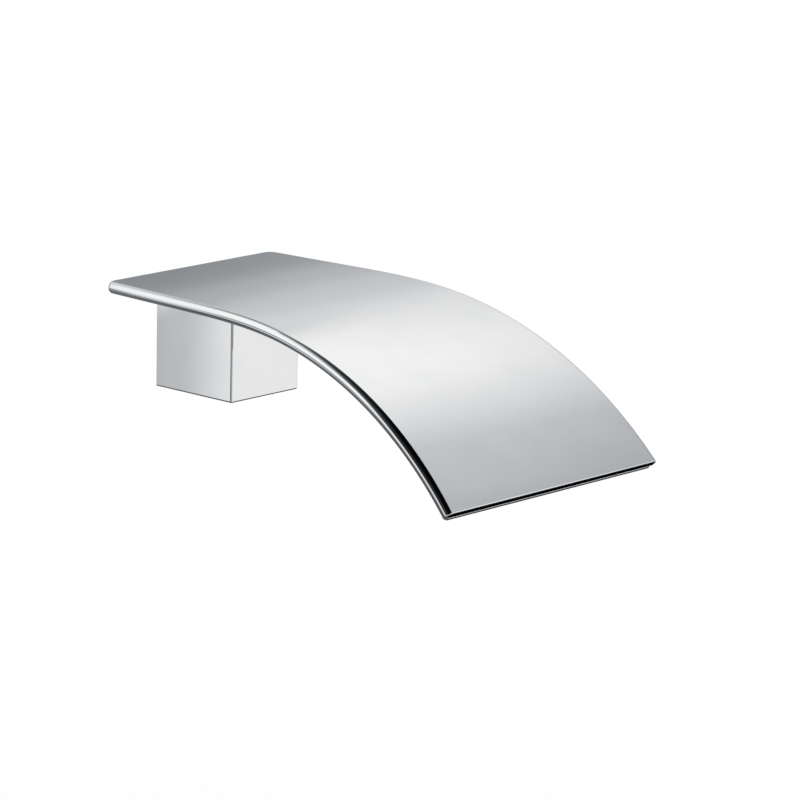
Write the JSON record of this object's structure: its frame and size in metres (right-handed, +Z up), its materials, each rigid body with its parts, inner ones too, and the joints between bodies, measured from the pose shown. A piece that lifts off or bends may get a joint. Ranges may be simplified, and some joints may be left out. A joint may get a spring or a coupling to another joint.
{
  "type": "waterfall bath spout",
  "caption": "Wall-mounted waterfall bath spout: a thin hollow blade, flared and bent downwards, with a slot across its tip, on a square block with a threaded inlet.",
  "frame": {"origin": "centre of the inlet thread's mouth, in the plane of the wall", "axes": "+Y out of the inlet, into the wall; the spout projects towards -Y; +Z up; X = 0 is the plane of symmetry"},
  "size_m": [0.16, 0.255, 0.0771],
  "materials": {
    "chrome_plate": "polished mirror chrome plate",
    "brass": "as cast and turned, bare",
    "stainless": "brushed stainless steel",
    "rubber": "moulded EPDM, matt",
    "acetal": "moulded acetal, matt"
  },
  "bodies": {
    "root": {"blade_top_shell": "chrome_plate", "blade_base_plate": "chrome_plate", "channel_end_bar": "brass", "flow_guide": "acetal", "channel_posts": "brass", "blade_studs": "brass", "stud_washers": "stainless", "stud_nuts": "stainless", "port_gasket": "rubber", "distributor_plate": "stainless", "waterway_casting": "brass", "inlet_bush": "brass", "inlet_o_ring": "rubber", "inlet_washer": "rubber", "inlet_strainer": "stainless", "back_plate": "stainless", "back_plate_screws": "stainless", "wall_seal": "rubber", "block_shell": "chrome_plate", "shell_screw": "stainless"}
  },
  "joints": []
}
